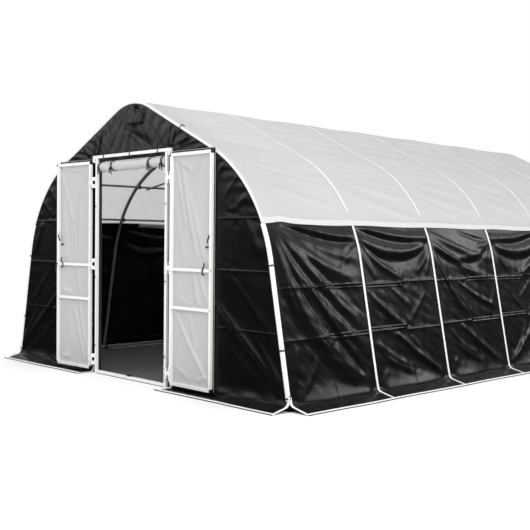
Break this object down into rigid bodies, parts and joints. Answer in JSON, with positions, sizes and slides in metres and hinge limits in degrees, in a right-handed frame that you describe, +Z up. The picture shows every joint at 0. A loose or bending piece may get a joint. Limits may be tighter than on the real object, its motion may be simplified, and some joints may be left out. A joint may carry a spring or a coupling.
{
  "type": "hoop-framed tunnel shelter",
  "caption": "Walk-in hoop-framed shelter with a pale roof cover, black side walls and gables, ground skirts, hinged double doors and a roll-up door curtain.",
  "frame": {"origin": "middle of the footprint, skirts included, at ground level", "axes": "+Z up, the doors face -Y, +X to the right of someone outside who faces the doors"},
  "size_m": [4.3506, 6.4862, 2.4756],
  "materials": {
    "galvanised_steel": "galvanised, satin",
    "clamp_plastic": "moulded, matte",
    "white_steel": "powder-coated, satin",
    "black_rubber": "matte",
    "black_strap": "woven strap and moulded plugs",
    "zinc_bolts": "zinc-plated",
    "roof_cloth": "coated woven polyethylene, satin",
    "wall_cloth": "coated woven polyethylene, satin",
    "white_webbing": "woven webbing and piping",
    "door_cloth": "coated woven polyethylene, satin",
    "curtain_cloth": "coated woven polyethylene, satin"
  },
  "bodies": {
    "frame": {"hoop_1": "galvanised_steel", "hoop_2": "galvanised_steel", "hoop_3": "galvanised_steel", "hoop_4": "galvanised_steel", "hoop_5": "galvanised_steel", "hoop_6": "galvanised_steel", "hoop_7": "galvanised_steel", "ridge_purlin": "galvanised_steel", "shoulder_purlin_left": "galvanised_steel", "shoulder_purlin_right": "galvanised_steel", "eave_purlin_left": "galvanised_steel", "eave_purlin_right": "galvanised_steel", "base_rail_left": "galvanised_steel", "base_rail_right": "galvanised_steel", "foot_plates": "galvanised_steel", "wind_braces": "galvanised_steel", "gable_posts": "galvanised_steel", "gable_base_rails": "galvanised_steel", "purlin_clamps": "clamp_plastic", "base_rail_clamps": "clamp_plastic", "gable_post_heads": "clamp_plastic", "door_jamb_left": "white_steel", "door_jamb_right": "white_steel", "door_header": "white_steel", "door_sill": "white_steel", "hinge_brackets": "white_steel", "sill_rubbers": "black_rubber", "header_ties": "black_strap", "frame_bolts": "zinc_bolts", "hinge_pins": "zinc_bolts", "roof_cover": "roof_cloth", "eave_bands": "roof_cloth", "side_wall_left": "wall_cloth", "side_wall_right": "wall_cloth", "front_gable_panel": "wall_cloth", "rear_gable_panel": "wall_cloth", "side_skirts": "wall_cloth", "gable_skirts": "wall_cloth", "hem_piping": "white_webbing", "wall_webbing": "white_webbing", "corner_trims": "white_webbing", "roof_edge_piping": "white_webbing"},
    "left_door": {"left_leaf_stiles": "white_steel", "left_leaf_rails": "white_steel", "left_leaf_panel": "door_cloth", "left_leaf_skin": "wall_cloth", "left_leaf_hinges": "white_steel", "left_leaf_fittings": "black_strap"},
    "right_door": {"right_leaf_stiles": "white_steel", "right_leaf_rails": "white_steel", "right_leaf_panel": "door_cloth", "right_leaf_skin": "wall_cloth", "right_leaf_hinges": "white_steel", "right_leaf_fittings": "black_strap"},
    "curtain": {"curtain_roll": "curtain_cloth", "curtain_core": "galvanised_steel", "curtain_ties": "black_strap", "curtain_sheet": "curtain_cloth"}
  },
  "joints": [
    {"name": "left_door_hinge", "type": "hinge", "parent": "frame", "child": "left_door", "pos_m": [-0.57, -3.11, 0], "axis": [0, 0, 1], "range_deg": [-3.5, 176.5]},
    {"name": "right_door_hinge", "type": "hinge", "parent": "frame", "child": "right_door", "pos_m": [0.57, -3.11, 0], "axis": [0, 0, 1], "range_deg": [-180, 0]},
    {"name": "curtain_drop", "type": "slide", "parent": "frame", "child": "curtain", "axis": [0, 0, 1], "range_m": [-1.82, 0], "deforming": ["curtain_sheet"]}
  ]
}
